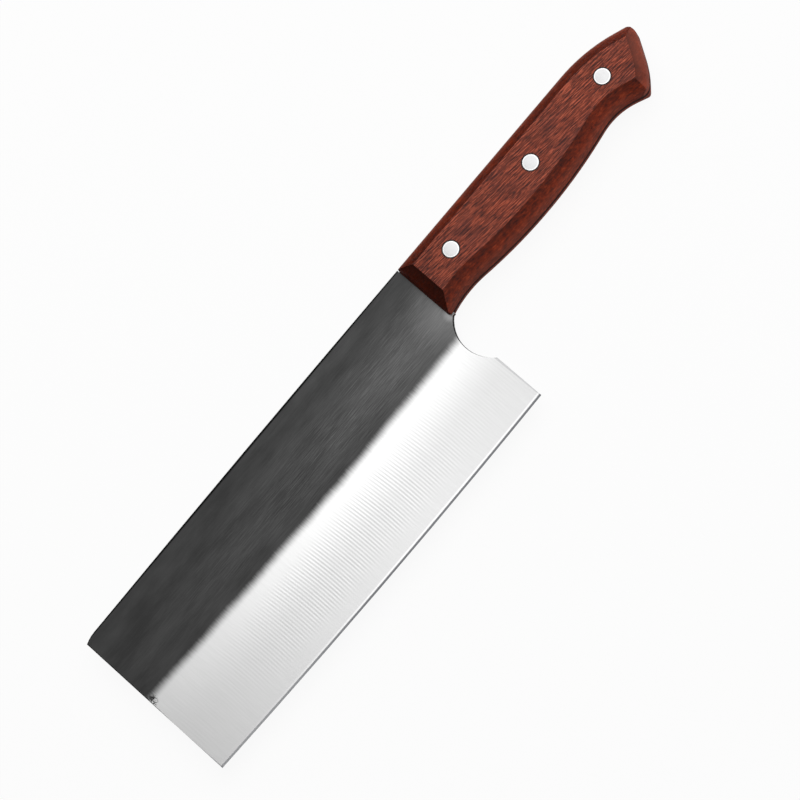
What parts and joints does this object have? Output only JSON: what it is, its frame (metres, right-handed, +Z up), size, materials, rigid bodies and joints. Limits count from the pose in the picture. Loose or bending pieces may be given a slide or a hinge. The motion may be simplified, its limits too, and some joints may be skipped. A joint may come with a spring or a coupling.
{
  "type": "chinese cleaver",
  "caption": "Wide rectangular kitchen cleaver with a dark upper blade, bright ground bevel, finger notch at the heel and a faceted full-tang hardwood handle held by round rivets.",
  "frame": {"origin": "bottom centre of the knife's bounding box as it lies flat on its right side, on the surface that it rests on", "axes": "+X runs along the knife from the tip to the butt of the handle, +Y across the blade from the edge towards the spine, +Z up out of the left side of the blade"},
  "size_m": [0.3042, 0.074, 0.017],
  "materials": {
    "blade_steel": "upper part darkened and brushed lengthwise, lower part ground bright across the blade",
    "handle_wood": "reddish brown hardwood, oiled and polished to a low sheen, pores along the handle",
    "rivet_metal": "ground flush with the wood, satin"
  },
  "bodies": {
    "root": {"blade_with_tang": "blade_steel", "left_scale": "handle_wood", "right_scale": "handle_wood", "neck_rivet_socket": "rivet_metal", "neck_rivet_stud": "rivet_metal", "middle_rivet_socket": "rivet_metal", "middle_rivet_stud": "rivet_metal", "butt_rivet_socket": "rivet_metal", "butt_rivet_stud": "rivet_metal"}
  },
  "joints": []
}
